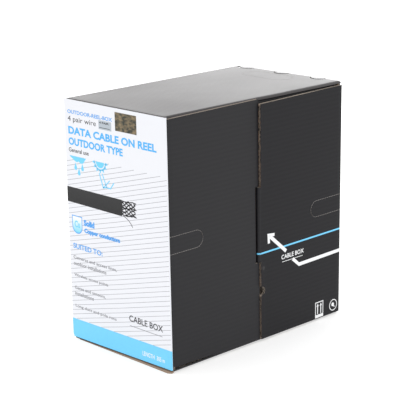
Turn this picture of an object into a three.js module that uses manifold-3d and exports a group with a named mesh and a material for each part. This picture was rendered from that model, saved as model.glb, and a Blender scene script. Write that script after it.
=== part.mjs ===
// Carton of outdoor network cable on a reel, standing on its narrow side. Millimetres, +Z up.
// Origin: centre of the footprint. +X and -X are the two large faces closed by doors, -Y is the label face.
import * as THREE from "three";
import { mergeVertices } from "three/addons/utils/BufferGeometryUtils.js";
import Module from "manifold-3d";

const wasm = await Module();
wasm.setup();

// Carton
const BOARD = 4.0;
const HEIGHT = 360.0;
const DOOR_OUT = 105.0;
const DOOR_IN = DOOR_OUT - BOARD;
const PANEL_X = 100.6;
const FRONT_OUT = -173.6;
const BACK_OUT = 174.9;
const GAP = 0.3;
const FOLD_ROUND = 2.6;
const FRONT_LOW_LEFT = 0.8;
const FRONT_LOW_RIGHT = 6.6;
const GLUE_FLAP_TOP = 45.0;

// Doors
const FRONT_DOOR_EDGE = -0.6;
const BACK_DOOR_EDGE = 0.5;
const FRONT_HINGE = -173.7;
const FRONT_DOOR_LOW = [10.5, 4.8, 3.9];
const FRONT_DOOR_BEND = -48.0;
const FRONT_DOOR_TOP = [357.0, 358.9];
const BACK_DOOR_LOW = [4.2, 3.0];
const BACK_DOOR_TOP = [352.3, 354.0];
const PROUD_LOW = 2.0;
const PROUD_HIGH = 4.0;

// Tuck tongue on the back door and the recess for it in the front door
const TONGUE_Z = [121.6, 232.6];
const TONGUE_TIP = 98.4;
const TONGUE_FACE = -3.6;
const RECESS_Z = [120.6, 233.6];
const RECESS_EDGE = -7.4;

// Cable notch in the seam
const NOTCH_Y = 2.0;
const NOTCH_Z = 78.0;
const NOTCH_R = 6.5;
const INNER_HOLE_R = 10.0;

// Hand tabs
const HAND_H = 25.0;
const HAND_FRONT_Z = 183.6;
const HAND_FRONT_TIP = -111.0;
const HAND_BACK_Z = 176.5;
const HAND_BACK_TIP = 107.0;

// Carry hole in the top
const CARRY_X = -12.0;
const CARRY_Y = 139.0;
const CARRY_LENGTH = 92.0;
const CARRY_WIDTH = 36.0;
const CARRY_GAP = 0.5;

// Half-moon lugs at the rear crease
const LUG_X = [-87.0, -13.0, 61.0];
const LUG_W = 26.0;
const LUG_DEPTH = 9.0;
const LUG_TOP = 361.2;
const LUG_ROOT = 5.0;

// Inner flaps
const FLAP_OUT = 100.6;
const FLAP_HALF_Y = 168.6;
const FLAP_LENGTH = 120.0;

// Label and stickers
const LABEL_X = 104.3;
const LABEL_BACK = -173.8;
const LABEL_T = 0.4;
const LABEL_TOP = 359.3;
const STICKER_BACK = -174.4;
const STICKER_T = 0.5;
const HOLOGRAM = [2.0, 46.0, 328.0, 354.0];
const SPEC = [-33.0, -6.5, 325.5, 338.0];

// Reel
const AXIS_Z = 180.0;
const AXLE_R = 16.0;
const AXLE_BORE_R = 13.0;
const AXLE_HALF = 96.0;
const AXLE_HOLE_R = 16.4;
const PLATE_OUT = 96.4;
const PLATE_HALF_Y = 95.0;
const SPACER_R = 24.0;
const FLANGE_OUT = 78.0;
const FLANGE_T = 4.0;
const FLANGE_R = 165.0;
const RELIEF_R = 7.5;
const RELIEF_PITCH = 36.0;
const RELIEF_COUNT = 6;
const CORE_R = 50.0;
const CORE_WALL = 4.0;
const WIND_R = 155.0;
const WIND_HALF = 73.4;

// Sides used for round outlines
const CORNER_STEPS = 4;
const HALF_STEPS = 16;
const RELIEF_SIDES = 24;
const NOTCH_SIDES = 32;
const BORE_SIDES = 64;
const REEL_SIDES = 96;
const WELD = 1e-4;

// Colours and roughness
const INK = 0x1b1b1d;
const KRAFT = 0xa97c50;
const WHITE = 0xeef2f3;
const BRONZE = 0x8a6a48;
const GREY = 0xb9c0c4;
const FIBREBOARD = 0x8f6b46;
const JACKET = 0x16171a;
const FOIL_ROUGH = 0.3;
const LABEL_ROUGH = 0.4;
const INK_ROUGH = 0.5;
const FLANGE_ROUGH = 0.7;
const KRAFT_ROUGH = 0.9;

const group = new THREE.Group();
group.name = "cable_spool_box";

function addMesh(name, geometry, color, roughness) {
  const material = new THREE.MeshStandardMaterial({ color, roughness, metalness: 0.0 });
  const mesh = new THREE.Mesh(geometry, material);
  mesh.name = name;
  group.add(mesh);
}

// Plates: an outline extruded across one axis
function plateX(shape, x0, x1) {
  const geometry = new THREE.ExtrudeGeometry(shape, { depth: x1 - x0, bevelEnabled: false });
  const turn = new THREE.Matrix4().set(0, 0, 1, x0, 1, 0, 0, 0, 0, 1, 0, 0, 0, 0, 0, 1);
  return geometry.applyMatrix4(turn);
}

function plateY(shape, y0, y1) {
  const geometry = new THREE.ExtrudeGeometry(shape, { depth: y1 - y0, bevelEnabled: false });
  const turn = new THREE.Matrix4().set(1, 0, 0, 0, 0, 0, -1, y1, 0, 1, 0, 0, 0, 0, 0, 1);
  return geometry.applyMatrix4(turn);
}

function plateZ(shape, z0, z1) {
  const geometry = new THREE.ExtrudeGeometry(shape, { depth: z1 - z0, bevelEnabled: false });
  return geometry.translate(0, 0, z0);
}

function outline(points) {
  return new THREE.Shape(points.map(([a, b]) => new THREE.Vector2(a, b)));
}

function rect(a0, a1, b0, b1) {
  return outline([[a0, b0], [a1, b0], [a1, b1], [a0, b1]]);
}

// Rectangle with the chosen corners rounded, in the order low-low, high-low, high-high, low-high
function roundRect(a0, a1, b0, b1, radii) {
  const corners = [[a0, b0, 180], [a1, b0, 270], [a1, b1, 0], [a0, b1, 90]];
  const points = [];
  corners.forEach(([a, b, start], i) => {
    const r = radii[i];
    if (r === 0) {
      points.push([a, b]);
      return;
    }
    const ca = a + (a === a0 ? r : -r);
    const cb = b + (b === b0 ? r : -r);
    for (let k = 0; k <= CORNER_STEPS; k += 1) {
      const angle = THREE.MathUtils.degToRad(start + (90 * k) / CORNER_STEPS);
      points.push([ca + r * Math.cos(angle), cb + r * Math.sin(angle)]);
    }
  });
  return outline(points);
}

function disc(a, b, r, n) {
  const points = [];
  for (let k = 0; k < n; k += 1) {
    const angle = (2 * Math.PI * k) / n;
    points.push([a + r * Math.cos(angle), b + r * Math.sin(angle)]);
  }
  return outline(points);
}

// Slot outline along the first axis
function stadium(a, b, length, width) {
  const r = width / 2;
  const half = length / 2 - r;
  const points = [];
  for (let k = 0; k <= HALF_STEPS; k += 1) {
    const angle = -Math.PI / 2 + (Math.PI * k) / HALF_STEPS;
    points.push([a + half + r * Math.cos(angle), b + r * Math.sin(angle)]);
  }
  for (let k = 0; k <= HALF_STEPS; k += 1) {
    const angle = Math.PI / 2 + (Math.PI * k) / HALF_STEPS;
    points.push([a - half + r * Math.cos(angle), b + r * Math.sin(angle)]);
  }
  return outline(points);
}

// D outline from a straight crease at a0 to a round end that reaches tip
function dOutline(a0, tip, b, height) {
  const r = height / 2;
  const side = Math.sign(tip - a0);
  const centre = tip - side * r;
  const points = [[a0, b - r]];
  for (let k = 0; k <= HALF_STEPS; k += 1) {
    const angle = -Math.PI / 2 + (Math.PI * k) / HALF_STEPS;
    points.push([centre + side * r * Math.cos(angle), b + r * Math.sin(angle)]);
  }
  points.push([a0, b + r]);
  return outline(side > 0 ? points : points.reverse());
}

// Half-moon outline whose straight side lies on b1
function halfMoon(a, b1, width, depth) {
  const points = [];
  for (let k = 0; k <= HALF_STEPS; k += 1) {
    const angle = Math.PI + (Math.PI * k) / HALF_STEPS;
    points.push([a + (width / 2) * Math.cos(angle), b1 + depth * Math.sin(angle)]);
  }
  return outline(points);
}

// Joining and cutting
function solid(geometry) {
  const bare = geometry.clone();
  bare.deleteAttribute("normal");
  bare.deleteAttribute("uv");
  const welded = mergeVertices(bare, WELD);
  return new wasm.Manifold(new wasm.Mesh({
    numProp: 3,
    vertProperties: new Float32Array(welded.attributes.position.array),
    triVerts: new Uint32Array(welded.index.array),
  }));
}

function fromSolid(body) {
  const mesh = body.getMesh();
  const geometry = new THREE.BufferGeometry();
  geometry.setAttribute("position", new THREE.BufferAttribute(new Float32Array(mesh.vertProperties), 3));
  geometry.setIndex(new THREE.BufferAttribute(new Uint32Array(mesh.triVerts), 1));
  geometry.computeVertexNormals();
  return geometry;
}

function cut(base, ...tools) {
  return tools.reduce((body, tool) => body.subtract(solid(tool)), solid(base));
}

// The back doors do not lie flat: their free edge stands out, more at the top than at the bottom
function standProud(geometry, side) {
  const position = geometry.attributes.position;
  for (let i = 0; i < position.count; i += 1) {
    const y = position.getY(i);
    const z = position.getZ(i);
    const reach = Math.min(1, Math.max(0, 1 - y / BACK_OUT));
    const proud = PROUD_LOW + (PROUD_HIGH - PROUD_LOW) * (z / HEIGHT);
    position.setX(i, position.getX(i) + side * proud * reach);
  }
  position.needsUpdate = true;
  geometry.computeVertexNormals();
  return geometry;
}

function sideRange(side, low, high) {
  return side > 0 ? [low, high] : [-high, -low];
}

// Sleeve of the carton
const panelTop = HEIGHT - BOARD - GAP;
const frontPanel = outline([
  [-PANEL_X, FRONT_LOW_LEFT],
  [PANEL_X, FRONT_LOW_RIGHT],
  [PANEL_X, panelTop],
  [-PANEL_X, panelTop],
]);
addMesh("front_panel", plateY(frontPanel, FRONT_OUT, FRONT_OUT + BOARD), INK, INK_ROUGH);

const backProfile = roundRect(BACK_OUT - BOARD, BACK_OUT, 0, panelTop, [0, FOLD_ROUND, 0, 0]);
let backBody = solid(plateX(backProfile, -PANEL_X, PANEL_X));
const lugStemHalf = LUG_W / 2 - BOARD + GAP;
for (const x of LUG_X) {
  const moon = plateZ(halfMoon(x, BACK_OUT, LUG_W, LUG_DEPTH), HEIGHT - BOARD, LUG_TOP);
  const stemPlan = rect(x - lugStemHalf, x + lugStemHalf, BACK_OUT - BOARD, BACK_OUT);
  const stem = plateZ(stemPlan, panelTop - LUG_ROOT, LUG_TOP);
  backBody = backBody.add(solid(moon)).add(solid(stem));
}
addMesh("back_panel", fromSolid(backBody), INK, INK_ROUGH);

const bottomFront = FRONT_OUT + 2 * BOARD + 2 * GAP;
const bottomPlan = rect(-PANEL_X, PANEL_X, bottomFront, BACK_OUT - BOARD - GAP);
addMesh("bottom_panel", plateZ(bottomPlan, 0, BOARD), INK, INK_ROUGH);

const glueBack = FRONT_OUT + 2 * BOARD + GAP;
const glueProfile = roundRect(glueBack - BOARD, glueBack, 0, GLUE_FLAP_TOP, [FOLD_ROUND, 0, 0, 0]);
addMesh("glue_flap", plateX(glueProfile, -PANEL_X + GAP, PANEL_X - GAP), KRAFT, KRAFT_ROUGH);

const topSide = roundRect(FRONT_OUT, BACK_OUT, HEIGHT - BOARD, HEIGHT, [0, 0, FOLD_ROUND, FOLD_ROUND]);
const topEnd = roundRect(-PANEL_X, PANEL_X, HEIGHT - BOARD, HEIGHT, [0, 0, FOLD_ROUND, FOLD_ROUND]);
const topSlab = solid(plateX(topSide, -PANEL_X, PANEL_X));
let topBody = topSlab.intersect(solid(plateY(topEnd, FRONT_OUT, BACK_OUT)));
const carryHole = stadium(CARRY_X, CARRY_Y, CARRY_LENGTH, CARRY_WIDTH);
topBody = topBody.subtract(solid(plateZ(carryHole, HEIGHT - 2 * BOARD, HEIGHT + BOARD)));
for (const x of LUG_X) {
  const slot = halfMoon(x, BACK_OUT, LUG_W + 2 * GAP, LUG_DEPTH + GAP);
  const mouth = rect(x - LUG_W / 2 - GAP, x + LUG_W / 2 + GAP, BACK_OUT - GAP, BACK_OUT + BOARD);
  topBody = topBody.subtract(solid(plateZ(slot, HEIGHT - 2 * BOARD, HEIGHT + BOARD)));
  topBody = topBody.subtract(solid(plateZ(mouth, HEIGHT - 2 * BOARD, HEIGHT + BOARD)));
}
addMesh("top_panel", fromSolid(topBody), INK, INK_ROUGH);

const carryTab = stadium(CARRY_X, CARRY_Y, CARRY_LENGTH - 2 * CARRY_GAP, CARRY_WIDTH - 2 * CARRY_GAP);
addMesh("carry_hole_tab", plateZ(carryTab, HEIGHT - BOARD, HEIGHT), INK, INK_ROUGH);

// Inner flaps, axle plates and doors on both large faces
const notchTool = disc(NOTCH_Y, NOTCH_Z, NOTCH_R, NOTCH_SIDES);
const innerHole = disc(NOTCH_Y, NOTCH_Z, INNER_HOLE_R, NOTCH_SIDES);
const axleHole = disc(0, AXIS_Z, AXLE_HOLE_R, BORE_SIDES);

for (const [label, side] of [["right", 1], ["left", -1]]) {
  const [flap0, flap1] = sideRange(side, FLAP_OUT - BOARD, FLAP_OUT);
  const topFlap = rect(-FLAP_HALF_Y, FLAP_HALF_Y, panelTop - FLAP_LENGTH, panelTop);
  addMesh("top_inner_flap_" + label, plateX(topFlap, flap0, flap1), INK, INK_ROUGH);

  const lowFlap = rect(-FLAP_HALF_Y + BOARD, FLAP_HALF_Y, BOARD + GAP, BOARD + GAP + FLAP_LENGTH);
  const [deep0, deep1] = sideRange(side, FLAP_OUT - 2 * BOARD, FLAP_OUT + BOARD);
  const lowFlapBody = cut(plateX(lowFlap, flap0, flap1), plateX(innerHole, deep0, deep1));
  addMesh("bottom_inner_flap_" + label, fromSolid(lowFlapBody), INK, INK_ROUGH);

  const [plate0, plate1] = sideRange(side, PLATE_OUT - BOARD, PLATE_OUT);
  const plate = rect(-PLATE_HALF_Y, PLATE_HALF_Y, BOARD + GAP, HEIGHT - BOARD - GAP);
  const [bore0, bore1] = sideRange(side, PLATE_OUT - 2 * BOARD, PLATE_OUT + BOARD);
  const plateHoles = [plateX(axleHole, bore0, bore1), plateX(innerHole, bore0, bore1)];
  const plateBody = cut(plateX(plate, plate0, plate1), ...plateHoles);
  addMesh("axle_plate_" + label, fromSolid(plateBody), KRAFT, KRAFT_ROUGH);

  const spacer = disc(0, AXIS_Z, SPACER_R, BORE_SIDES);
  spacer.holes.push(disc(0, AXIS_Z, AXLE_HOLE_R, BORE_SIDES));
  const [space0, space1] = sideRange(side, FLANGE_OUT + GAP, PLATE_OUT - BOARD - GAP);
  addMesh("axle_spacer_" + label, plateX(spacer, space0, space1), KRAFT, KRAFT_ROUGH);

  const [door0, door1] = sideRange(side, DOOR_IN, DOOR_OUT);
  const [tool0, tool1] = sideRange(side, DOOR_IN - BOARD, DOOR_OUT + 3 * BOARD);

  const frontDoor = outline([
    [FRONT_HINGE, FRONT_DOOR_LOW[0]],
    [FRONT_DOOR_BEND, FRONT_DOOR_LOW[1]],
    [FRONT_DOOR_EDGE, FRONT_DOOR_LOW[2]],
    [FRONT_DOOR_EDGE, RECESS_Z[0]],
    [RECESS_EDGE, RECESS_Z[0]],
    [RECESS_EDGE, RECESS_Z[1]],
    [FRONT_DOOR_EDGE, RECESS_Z[1]],
    [FRONT_DOOR_EDGE, FRONT_DOOR_TOP[1]],
    [FRONT_HINGE, FRONT_DOOR_TOP[0]],
  ]);
  const frontHand = dOutline(FRONT_HINGE - BOARD, HAND_FRONT_TIP, HAND_FRONT_Z, HAND_H);
  const frontDoorBody = cut(plateX(frontDoor, door0, door1), plateX(frontHand, tool0, tool1));
  addMesh("front_door_" + label, fromSolid(frontDoorBody), INK, INK_ROUGH);
  const frontTab = dOutline(FRONT_HINGE, HAND_FRONT_TIP - GAP, HAND_FRONT_Z, HAND_H - 2 * GAP);
  addMesh("hand_tab_front_" + label, plateX(frontTab, door0, door1), INK, INK_ROUGH);

  const backDoor = outline([
    [BACK_DOOR_EDGE, BACK_DOOR_LOW[0]],
    [BACK_OUT, BACK_DOOR_LOW[1]],
    [BACK_OUT, BACK_DOOR_TOP[1]],
    [BACK_DOOR_EDGE, BACK_DOOR_TOP[0]],
  ]);
  const backHand = dOutline(BACK_OUT + BOARD, HAND_BACK_TIP, HAND_BACK_Z, HAND_H);
  const backCuts = [plateX(backHand, tool0, tool1), plateX(notchTool, tool0, tool1)];
  const backDoorBody = cut(plateX(backDoor, door0, door1), ...backCuts);
  addMesh("back_door_" + label, standProud(fromSolid(backDoorBody), side), INK, INK_ROUGH);
  const backTab = dOutline(BACK_OUT, HAND_BACK_TIP + GAP, HAND_BACK_Z, HAND_H - 2 * GAP);
  const backTabBody = solid(plateX(backTab, door0, door1));
  addMesh("hand_tab_back_" + label, standProud(fromSolid(backTabBody), side), INK, INK_ROUGH);

  const [tip0, tip1] = sideRange(side, TONGUE_TIP, DOOR_OUT);
  const tongueRadii = side > 0 ? [0, FOLD_ROUND, 0, 0] : [FOLD_ROUND, 0, 0, 0];
  const tongue = roundRect(tip0, tip1, TONGUE_FACE, BACK_DOOR_EDGE - GAP, tongueRadii);
  const tongueBody = solid(plateZ(tongue, TONGUE_Z[0], TONGUE_Z[1]));
  addMesh("tuck_tongue_" + label, standProud(fromSolid(tongueBody), side), INK, INK_ROUGH);
}

// Label and stickers on the front face
const labelOutline = outline([
  [-LABEL_X, FRONT_LOW_LEFT],
  [LABEL_X, FRONT_LOW_RIGHT],
  [LABEL_X, LABEL_TOP],
  [-LABEL_X, LABEL_TOP],
]);
addMesh("front_label", plateY(labelOutline, LABEL_BACK - LABEL_T, LABEL_BACK), WHITE, LABEL_ROUGH);
const hologram = rect(HOLOGRAM[0], HOLOGRAM[1], HOLOGRAM[2], HOLOGRAM[3]);
addMesh("hologram_sticker", plateY(hologram, STICKER_BACK - STICKER_T, STICKER_BACK), BRONZE, FOIL_ROUGH);
const spec = rect(SPEC[0], SPEC[1], SPEC[2], SPEC[3]);
addMesh("spec_sticker", plateY(spec, STICKER_BACK - STICKER_T, STICKER_BACK), GREY, INK_ROUGH);

// Axle and reel
const axle = disc(0, AXIS_Z, AXLE_R, REEL_SIDES);
axle.holes.push(disc(0, AXIS_Z, AXLE_BORE_R, REEL_SIDES));
addMesh("axle_tube", plateX(axle, -AXLE_HALF, AXLE_HALF), KRAFT, KRAFT_ROUGH);

for (const [label, side] of [["right", 1], ["left", -1]]) {
  const flange = disc(0, AXIS_Z, FLANGE_R, REEL_SIDES);
  flange.holes.push(disc(0, AXIS_Z, AXLE_HOLE_R, REEL_SIDES));
  for (let k = 0; k < RELIEF_COUNT; k += 1) {
    const angle = (2 * Math.PI * (k + 0.5)) / RELIEF_COUNT;
    const across = RELIEF_PITCH * Math.cos(angle);
    const height = AXIS_Z + RELIEF_PITCH * Math.sin(angle);
    flange.holes.push(disc(across, height, RELIEF_R, RELIEF_SIDES));
  }
  const [flange0, flange1] = sideRange(side, FLANGE_OUT - FLANGE_T, FLANGE_OUT);
  addMesh("reel_flange_" + label, plateX(flange, flange0, flange1), FIBREBOARD, FLANGE_ROUGH);
}

const core = disc(0, AXIS_Z, CORE_R, REEL_SIDES);
core.holes.push(disc(0, AXIS_Z, CORE_R - CORE_WALL, REEL_SIDES));
const coreHalf = FLANGE_OUT - FLANGE_T - GAP;
addMesh("reel_barrel", plateX(core, -coreHalf, coreHalf), KRAFT, KRAFT_ROUGH);

const winding = disc(0, AXIS_Z, WIND_R, REEL_SIDES);
winding.holes.push(disc(0, AXIS_Z, CORE_R + GAP, REEL_SIDES));
addMesh("cable_winding", plateX(winding, -WIND_HALF, WIND_HALF), JACKET, INK_ROUGH);

export default group;
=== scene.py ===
import math

import bmesh
import bpy
from mathutils import Matrix, Vector
from mathutils.geometry import tessellate_polygon


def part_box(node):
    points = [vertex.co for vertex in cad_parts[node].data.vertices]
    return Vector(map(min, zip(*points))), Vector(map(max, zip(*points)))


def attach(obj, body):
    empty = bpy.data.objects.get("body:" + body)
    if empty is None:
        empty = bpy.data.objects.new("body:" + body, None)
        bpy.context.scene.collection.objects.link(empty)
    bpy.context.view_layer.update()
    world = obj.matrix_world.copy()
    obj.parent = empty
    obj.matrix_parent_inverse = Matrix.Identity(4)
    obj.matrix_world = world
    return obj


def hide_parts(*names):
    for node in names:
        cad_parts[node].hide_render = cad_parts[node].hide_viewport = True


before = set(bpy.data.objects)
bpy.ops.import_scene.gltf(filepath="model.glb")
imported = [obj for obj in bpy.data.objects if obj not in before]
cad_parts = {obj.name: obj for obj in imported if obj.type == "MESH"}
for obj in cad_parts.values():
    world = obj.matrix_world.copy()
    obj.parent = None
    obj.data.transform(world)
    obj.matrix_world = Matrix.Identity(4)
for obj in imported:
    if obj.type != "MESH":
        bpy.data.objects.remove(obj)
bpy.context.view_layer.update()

# ------------------------------
# Studio: a white sweep under soft, even light, with one large panel low behind the carton.
# The panel is what the satin top reflects; nothing here is part of the carton.
azimuth = math.radians(46.07)
elevation = math.radians(15.274)
roll = math.radians(-1.083)
lens_mm = 122.89
eye = Vector((1.4542, -1.4003, 0.7341))
ahead = Vector((-math.sin(azimuth) * math.cos(elevation), math.cos(azimuth) * math.cos(elevation),
                -math.sin(elevation)))
level_right = Vector((math.cos(azimuth), math.sin(azimuth), 0.0))
level_up = level_right.cross(ahead)
right = math.cos(roll) * level_right + math.sin(roll) * level_up
up = math.cos(roll) * level_up - math.sin(roll) * level_right
camera_data = bpy.data.cameras.new("camera")
camera_data.lens = lens_mm
camera_data.sensor_width = 36.0
camera_data.clip_start = 0.05
camera = bpy.data.objects.new("camera", camera_data)
camera.matrix_world = Matrix.Translation(eye) @ Matrix((right, up, -ahead)).transposed().to_4x4()
bpy.context.collection.objects.link(camera)
bpy.context.scene.camera = camera

world = bpy.data.worlds.new("studio")
world.use_nodes = True
world.node_tree.nodes["Background"].inputs["Color"].default_value = (1.0, 1.0, 1.0, 1.0)
world.node_tree.nodes["Background"].inputs["Strength"].default_value = 1.10
bpy.context.scene.world = world
bpy.context.scene.view_settings.view_transform = "Standard"
bpy.context.scene.view_settings.look = "None"


def soft_panel(name, place, aim, size, watts):
    """A rectangular soft box at place, turned towards aim, that the camera itself doesn't see."""
    light = bpy.data.lights.new(name, "AREA")
    light.shape = "RECTANGLE"
    light.size, light.size_y = size
    light.energy = watts
    lamp = bpy.data.objects.new(name, light)
    turn = (Vector(aim) - Vector(place)).to_track_quat("-Z", "Y").to_matrix().to_4x4()
    lamp.matrix_world = Matrix.Translation(place) @ turn
    lamp.visible_camera = False
    bpy.context.collection.objects.link(lamp)


soft_panel("panel_behind", (-1.35, 1.3, 0.80), (0.0, 0.0, 0.36), (3.0, 1.3), 22.0)
soft_panel("panel_above", (0.3, -0.5, 2.4), (0.0, 0.0, 0.2), (2.0, 2.0), 5.0)


# ------------------------------
# Printed board: the carton's outside is single-wall corrugated, flood-printed satin black on a
# kraft liner. The flutes telegraph through the print as a faint washboard.
BOARD = 0.004
LINER = 0.00045
FLUTE = 0.0066
FOLD_STEPS = (0.08, 0.25, 0.5, 0.75, 1.0)
SIDES = ((1.0, "right"), (-1.0, "left"))


def both_ways(operation):
    """An operator and its reflected form, such as value - 1 and 1 - value."""
    return (lambda one, two: one.math(operation, one, two)), (lambda one, two: one.math(operation, two, one))


class Value:
    """A number that a shader works out; an operator on it adds the Math node it needs."""

    def __init__(self, tree, socket):
        self.tree = tree
        self.socket = socket

    def math(self, operation, *operands):
        node = self.tree.nodes.new("ShaderNodeMath")
        node.operation = operation
        for place, operand in zip(node.inputs, operands):
            if isinstance(operand, Value):
                self.tree.links.new(operand.socket, place)
            else:
                place.default_value = operand
        return Value(self.tree, node.outputs[0])

    __add__, __radd__ = both_ways("ADD")
    __sub__, __rsub__ = both_ways("SUBTRACT")
    __mul__, __rmul__ = both_ways("MULTIPLY")
    __gt__ = both_ways("GREATER_THAN")[0]

    def wave(self, length):
        """A sine of this value, -1 to 1, once each length."""
        return self.math("SINE", self * (2.0 * math.pi / length))

    def clamp(self):
        return self.math("MINIMUM", self.math("MAXIMUM", self, 0.0), 1.0)


class Finish:
    """One material: its Principled shader, its Object coordinates, and a method for any other node."""

    def __init__(self, name, colour, roughness, **constants):
        self.material = bpy.data.materials.new(name)
        self.material.use_nodes = True
        self.tree = self.material.node_tree
        self.shader = self.tree.nodes["Principled BSDF"]
        self.shader.inputs["Base Color"].default_value = (*colour, 1.0)
        self.shader.inputs["Roughness"].default_value = roughness
        for key, value in constants.items():
            self.shader.inputs[key.replace("_", " ")].default_value = value
        self.place = self.node("ShaderNodeTexCoord").outputs["Object"]
        apart = self.node("ShaderNodeSeparateXYZ", None, {"Vector": self.place})
        self.x, self.y, self.z = (Value(self.tree, apart.outputs[axis]) for axis in "XYZ")

    def node(self, kind, settings=None, inputs=None):
        made = self.tree.nodes.new(kind)
        for key, value in (settings or {}).items():
            if key == "stops":
                for element, (position, colour) in zip(made.color_ramp.elements, value):
                    element.position = position
                    element.color = (*colour, 1.0)
            else:
                setattr(made, key, value)
        for key, value in (inputs or {}).items():
            self.feed(made.inputs[key], value)
        return made

    def feed(self, socket, value):
        if isinstance(value, Value):
            self.tree.links.new(value.socket, socket)
        elif isinstance(value, bpy.types.NodeSocket):
            self.tree.links.new(value, socket)
        else:
            socket.default_value = value

    def noise(self, scale, detail=3.0, stretch=(1.0, 1.0, 1.0)):
        """Cloudy noise, 0 to 1, with features of about 1/scale metres, stretched along an axis."""
        mapping = self.node("ShaderNodeMapping", None, {"Vector": self.place, "Scale": stretch})
        texture = self.node("ShaderNodeTexNoise", None,
                            {"Vector": mapping.outputs[0], "Scale": scale, "Detail": detail})
        return Value(self.tree, texture.outputs["Fac"])

    def tint(self, factor, low, high):
        """A colour between low and high."""
        mix = self.node("ShaderNodeMix", {"data_type": "RGBA"})
        self.feed(mix.inputs[0], factor)
        for socket, colour in ((mix.inputs[6], low), (mix.inputs[7], high)):
            if isinstance(colour, tuple):
                socket.default_value = (*colour, 1.0)
            else:
                self.feed(socket, colour)
        return mix.outputs[2]

    def colour(self, value):
        self.feed(self.shader.inputs["Base Color"], value)

    def rough(self, value):
        self.feed(self.shader.inputs["Roughness"], value)

    def bump(self, height, depth):
        """Relief: height 0 to 1 stands for depth metres."""
        bump = self.node("ShaderNodeBump", None, {"Height": height, "Distance": depth, "Strength": 1.0})
        self.feed(self.shader.inputs["Normal"], bump.outputs[0])


def printed_board(name, across, ink=(0.0085, 0.0082, 0.0098), sheen=0.27, painted_sheen_ramp=None):
    """Satin black print; across is the axis that the flutes repeat along.

    The last argument is (weight, first y, last y): a clear coat whose weight grows towards the back, a painted
    sheen that stands in for the brighter reflection there."""
    finish = Finish(name, ink, 0.42, Specular_IOR_Level=sheen, Coat_Roughness=0.38)
    if painted_sheen_ramp:
        # Painted sheen: the coat's weight grows from front to back so the reflection brightens towards the
        # back.
        weight, first, last = painted_sheen_ramp
        share = ((finish.y - first) * (1.0 / (last - first))).clamp()
        finish.feed(finish.shader.inputs["Coat Weight"], share * weight)
    flutes = getattr(finish, across).wave(FLUTE)
    fibre = finish.noise(700.0, 4.0)
    cloud = finish.noise(9.0, 3.0)
    streak = finish.noise(60.0, 3.0, (1.0, 0.25, 0.25))
    finish.colour(finish.tint((flutes * 0.14 + cloud * 0.7 + 0.1).clamp(), ink, tuple(c * 1.55 for c in ink)))
    finish.rough(0.36 + cloud * 0.10 + fibre * 0.06 + streak * 0.04)
    finish.bump(flutes * 0.35 + fibre * 0.35 + cloud * 2.0, 0.00011)
    return finish.material


def kraft(name, tone=(0.36, 0.225, 0.12)):
    """Unprinted kraft liner and medium: brown, matt, with darker fibres lying along the board."""
    finish = Finish(name, tone, 0.88)
    fibre = finish.noise(900.0, 5.0, (1.0, 0.3, 1.0))
    cloud = finish.noise(25.0, 3.0)
    dark = tuple(c * 0.72 for c in tone)
    light = tuple(min(1.0, c * 1.28) for c in tone)
    finish.colour(finish.tint((fibre * 0.8 + cloud * 0.5 - 0.15).clamp(), dark, light))
    finish.bump(fibre, 0.00008)
    return finish.material


ink_z = printed_board("print_flutes_up_z", "z")
ink_y = printed_board("print_flutes_along_y", "y")
# The top's print is the same black ink as the sides, given a lighter, warmer base colour as painted light for
# the top's brighter look; its coat ramp is painted sheen.
top_ink_painted_lighter = printed_board("print_top", "y", (0.0215, 0.0180, 0.0190), 0.57, (0.34, -0.10, 0.17))
ink_back = printed_board("print_back_doors", "z", sheen=0.16)
kraft_liner = kraft("kraft_liner")
kraft_raw = kraft("kraft_raw_edge", (0.36, 0.31, 0.265))
BLACK_BOARD = (ink_z, kraft_liner, kraft_raw)


def rim_with_painted_seam_shade():
    """The back doors' cut rim: pale liner edges, browner near the middle join and broken there by long dark
    stretches; the browning and the dark stretches are painted shade in the gap between the doors.
    """
    finish = Finish("scuffed_door_rim", (0.30, 0.24, 0.19), 0.9)
    fibre = finish.noise(900.0, 4.0)
    stretch = ((finish.noise(420.0, 3.0, (1.0, 1.0, 0.5)) - 0.47) * 8.0).clamp()
    # Near the middle join the rim is painted browner with dark stretches: painted shade in the gap between the
    # doors.
    seam = (finish.y.math("ABSOLUTE", finish.y) > 0.0012) * -1.0 + 1.0
    pale = finish.tint(fibre, (0.30, 0.25, 0.205), (0.46, 0.40, 0.34))
    brown = finish.tint(fibre, (0.16, 0.105, 0.075), (0.30, 0.21, 0.15))
    rim = finish.tint(seam, pale, brown)
    finish.colour(finish.tint((stretch * seam).clamp(), rim, (0.022, 0.018, 0.016)))
    finish.bump(fibre, 0.00008)
    return finish.material


door_rim = rim_with_painted_seam_shade()

TO_WORLD = {"X": lambda u, v, w: (w, u, v), "Y": lambda u, v, w: (u, w, v), "Z": lambda u, v, w: (u, v, w)}


def crossings(loops, across, level):
    """Where the line across = level passes through the outline, as pairs along the other axis."""
    found = []
    for loop in loops:
        for a, b in zip(loop, loop[1:] + loop[:1]):
            if (a[across] > level) != (b[across] > level):
                share = (level - a[across]) / (b[across] - a[across])
                found.append(a[1 - across] + share * (b[1 - across] - a[1 - across]))
    found.sort()
    return list(zip(found[0::2], found[1::2]))


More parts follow.
